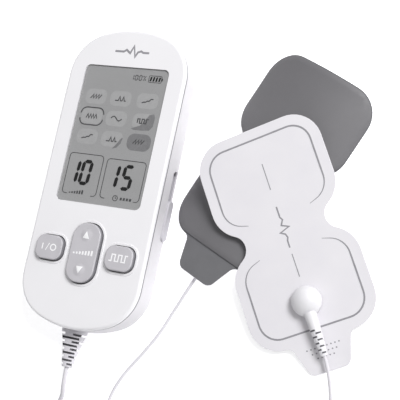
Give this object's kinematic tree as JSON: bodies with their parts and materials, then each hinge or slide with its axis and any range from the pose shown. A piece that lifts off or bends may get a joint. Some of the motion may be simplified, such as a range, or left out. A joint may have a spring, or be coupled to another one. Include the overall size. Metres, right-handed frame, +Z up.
{
  "type": "nerve stimulator",
  "caption": "Hand-held nerve stimulator with a display, three keys, a charging-port shutter and a branched lead to two gel electrode pads held by snap studs.",
  "frame": {"origin": "middle of the controller's flat back, on the table it lies on", "axes": "+X to the right of the display, +Y towards the top of the display, +Z up out of the display"},
  "size_m": [0.1527, 0.21, 0.0203],
  "materials": {
    "front_shell": "smooth satin white moulding",
    "rear_shell": "fine matt off-white moulding",
    "seam_trim": "dark grey trim line",
    "screw_steel": "zinc plated",
    "window_clear": "clear polished window",
    "holder_grey": "light grey moulding",
    "lcd_film": "grey reflective display film",
    "lcd_glass": "thin glass",
    "strip_rubber": "layered silicone",
    "light_panel": "diffuse white",
    "mat_rubber": "soft silicone",
    "board_green": "solder mask",
    "chip_black": "moulded epoxy",
    "capacitor_can": "drawn can",
    "ferrite": "sintered ferrite",
    "copper_wire": "enamelled copper wire",
    "battery_foil": "laminated foil pouch",
    "foam": "soft foam",
    "port_steel": "stamped steel",
    "track_grey": "fine matt moulding",
    "slider_grey": "fine matt moulding",
    "socket_black": "moulded",
    "key_grey": "satin light grey keys with printed white signs",
    "pin_metal": "nickel plated brass",
    "boot_grey": "soft ribbed moulding",
    "cord_grey": "smooth flexible jacket",
    "snap_white": "smooth satin moulding",
    "snap_metal": "plated spring ring",
    "stud_metal": "plated stud",
    "pad_backing": "white non-woven backing with printed grey lines",
    "carbon_film": "carbon-loaded film",
    "gel": "tacky conductive gel, dark grey from the film behind it"
  },
  "bodies": {
    "case": {"rear_shell": "rear_shell", "seam_trim": "seam_trim", "front_shell": "front_shell", "case_screws": "screw_steel", "display_window": "window_clear", "lcd_holder": "holder_grey", "lcd_polariser": "lcd_film", "lcd_glass": "lcd_glass", "zebra_strip": "strip_rubber", "backlight": "light_panel", "key_mat": "mat_rubber", "circuit_board": "board_green", "microcontroller": "chip_black", "charge_controller": "chip_black", "power_transistors": "chip_black", "buzzer": "chip_black", "capacitors": "capacitor_can", "transformer_core": "ferrite", "transformer_winding": "copper_wire", "battery_cell": "battery_foil", "battery_foam": "foam", "charging_socket": "port_steel", "port_track": "track_grey", "lead_socket": "socket_black"},
    "power_button": {"power_key": "key_grey"},
    "mode_button": {"mode_key": "key_grey"},
    "intensity_rocker": {"intensity_key": "key_grey"},
    "port_cover": {"port_slider": "slider_grey"},
    "lead_set": {"plug_pin": "pin_metal", "plug_boot": "boot_grey", "trunk_lead": "cord_grey", "trunk_tail": "cord_grey", "trunk_coil": "cord_grey", "y_splitter": "boot_grey", "branch_a_lead": "cord_grey", "branch_a_coil": "cord_grey", "branch_a_tail": "cord_grey", "branch_b_lead": "cord_grey", "branch_b_coil": "cord_grey", "branch_b_tail": "cord_grey", "snap_housing_a": "snap_white", "snap_ring_a": "snap_metal", "snap_housing_b": "snap_white", "snap_ring_b": "snap_metal"},
    "electrode_a": {"pad_a_backing": "pad_backing", "pad_a_film": "carbon_film", "pad_a_gel": "gel", "pad_a_stud": "stud_metal"},
    "electrode_b": {"pad_b_backing": "pad_backing", "pad_b_film": "carbon_film", "pad_b_gel": "gel", "pad_b_stud": "stud_metal"}
  },
  "joints": [
    {"name": "power_press", "type": "slide", "parent": "case", "child": "power_button", "axis": [0, 0, -1], "range_m": [0, 0.0008], "stiffness_N_per_m": 600, "deforming": ["key_mat"]},
    {"name": "mode_press", "type": "slide", "parent": "case", "child": "mode_button", "axis": [0, 0, -1], "range_m": [0, 0.0008], "stiffness_N_per_m": 600, "deforming": ["key_mat"]},
    {"name": "intensity_rock", "type": "hinge", "parent": "case", "child": "intensity_rocker", "pos_m": [0, -0.0343, 0.0152], "axis": [1, 0, 0], "range_deg": [-3.5, 3.5], "stiffness_Nm_per_rad": 0.22, "deforming": ["key_mat"]},
    {"name": "port_shutter", "type": "slide", "parent": "case", "child": "port_cover", "axis": [0, 1, 0], "range_m": [0, 0.013]},
    {"name": "lead_unplug", "type": "slide", "parent": "case", "child": "lead_set", "axis": [0, -1, 0], "range_m": [0, 0.013]},
    {"name": "pad_a_swivel", "type": "hinge", "parent": "lead_set", "child": "electrode_a", "pos_m": [0.097, -0.037, 0.00514], "axis": [0.0702, -0.132, 0.9888], "range_deg": [-8, 8]},
    {"name": "pad_b_swivel", "type": "hinge", "parent": "lead_set", "child": "electrode_b", "pos_m": [0.058, -0.009, 0.0064], "axis": [0, 0, 1], "range_deg": [-8, 8]}
  ]
}
